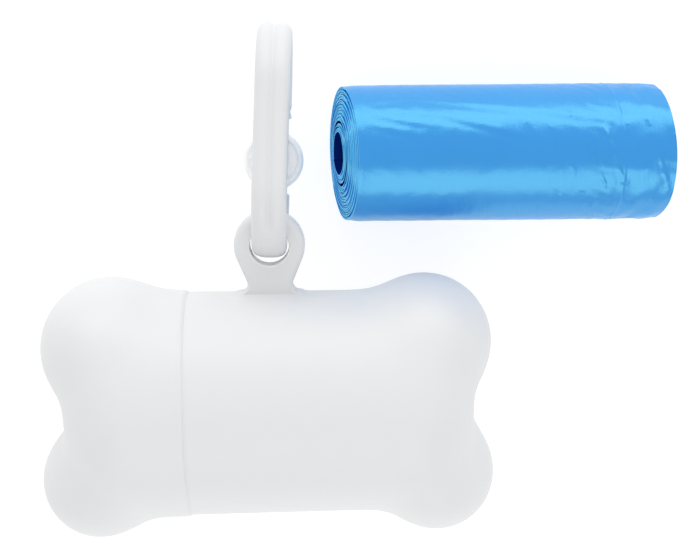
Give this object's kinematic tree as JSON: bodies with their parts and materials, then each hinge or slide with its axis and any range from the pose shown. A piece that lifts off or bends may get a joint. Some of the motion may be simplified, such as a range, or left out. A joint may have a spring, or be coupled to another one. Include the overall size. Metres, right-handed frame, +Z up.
{
  "type": "pet waste bag dispenser",
  "caption": "Bone-shaped two-part plastic shell with a push-on cap, a dispensing slot underneath, a lug with a sprung-gate hook loop, and a spare roll of bags beside it.",
  "frame": {"origin": "on the table under the middle of the bone, on the flat that the bone lies on", "axes": "+X along the bone to its closed end, +Y towards the lug and the clip, +Z up from the table"},
  "size_m": [0.1187, 0.0958, 0.0418],
  "materials": {
    "shell_plastic": "satin moulded white",
    "clip_plastic": "satin moulded white",
    "bag_film": "glossy translucent blue film"
  },
  "bodies": {
    "bone": {"body_shell": "shell_plastic"},
    "cap": {"cap_shell": "shell_plastic"},
    "clip": {"clip_frame": "clip_plastic"},
    "gate": {"clip_gate": "clip_plastic"},
    "roll": {"bag_01": "bag_film", "bag_02": "bag_film", "bag_03": "bag_film", "bag_04": "bag_film", "bag_05": "bag_film", "bag_06": "bag_film", "bag_07": "bag_film", "bag_08": "bag_film", "bag_09": "bag_film", "bag_10": "bag_film", "bag_11": "bag_film", "bag_12": "bag_film", "bag_13": "bag_film", "bag_14": "bag_film", "bag_15": "bag_film"}
  },
  "joints": [
    {"name": "cap_pull", "type": "slide", "parent": "bone", "child": "cap", "axis": [-1, 0, 0], "range_m": [0, 0.075]},
    {"name": "clip_swing", "type": "hinge", "parent": "bone", "child": "clip", "pos_m": [0.0006, 0.03, 0.0205], "axis": [0, 0, 1], "range_deg": [-6, 80]},
    {"name": "gate_open", "type": "hinge", "parent": "clip", "child": "gate", "pos_m": [0.00164, 0.05298, 0.00311], "axis": [-0.999, 0.0454, 0], "range_deg": [0, 25], "stiffness_Nm_per_rad": 0.02},
    {"name": "roll_lift", "type": "slide", "parent": "bone", "child": "roll", "axis": [0, 0, 1], "range_m": [0, 0.08]}
  ]
}
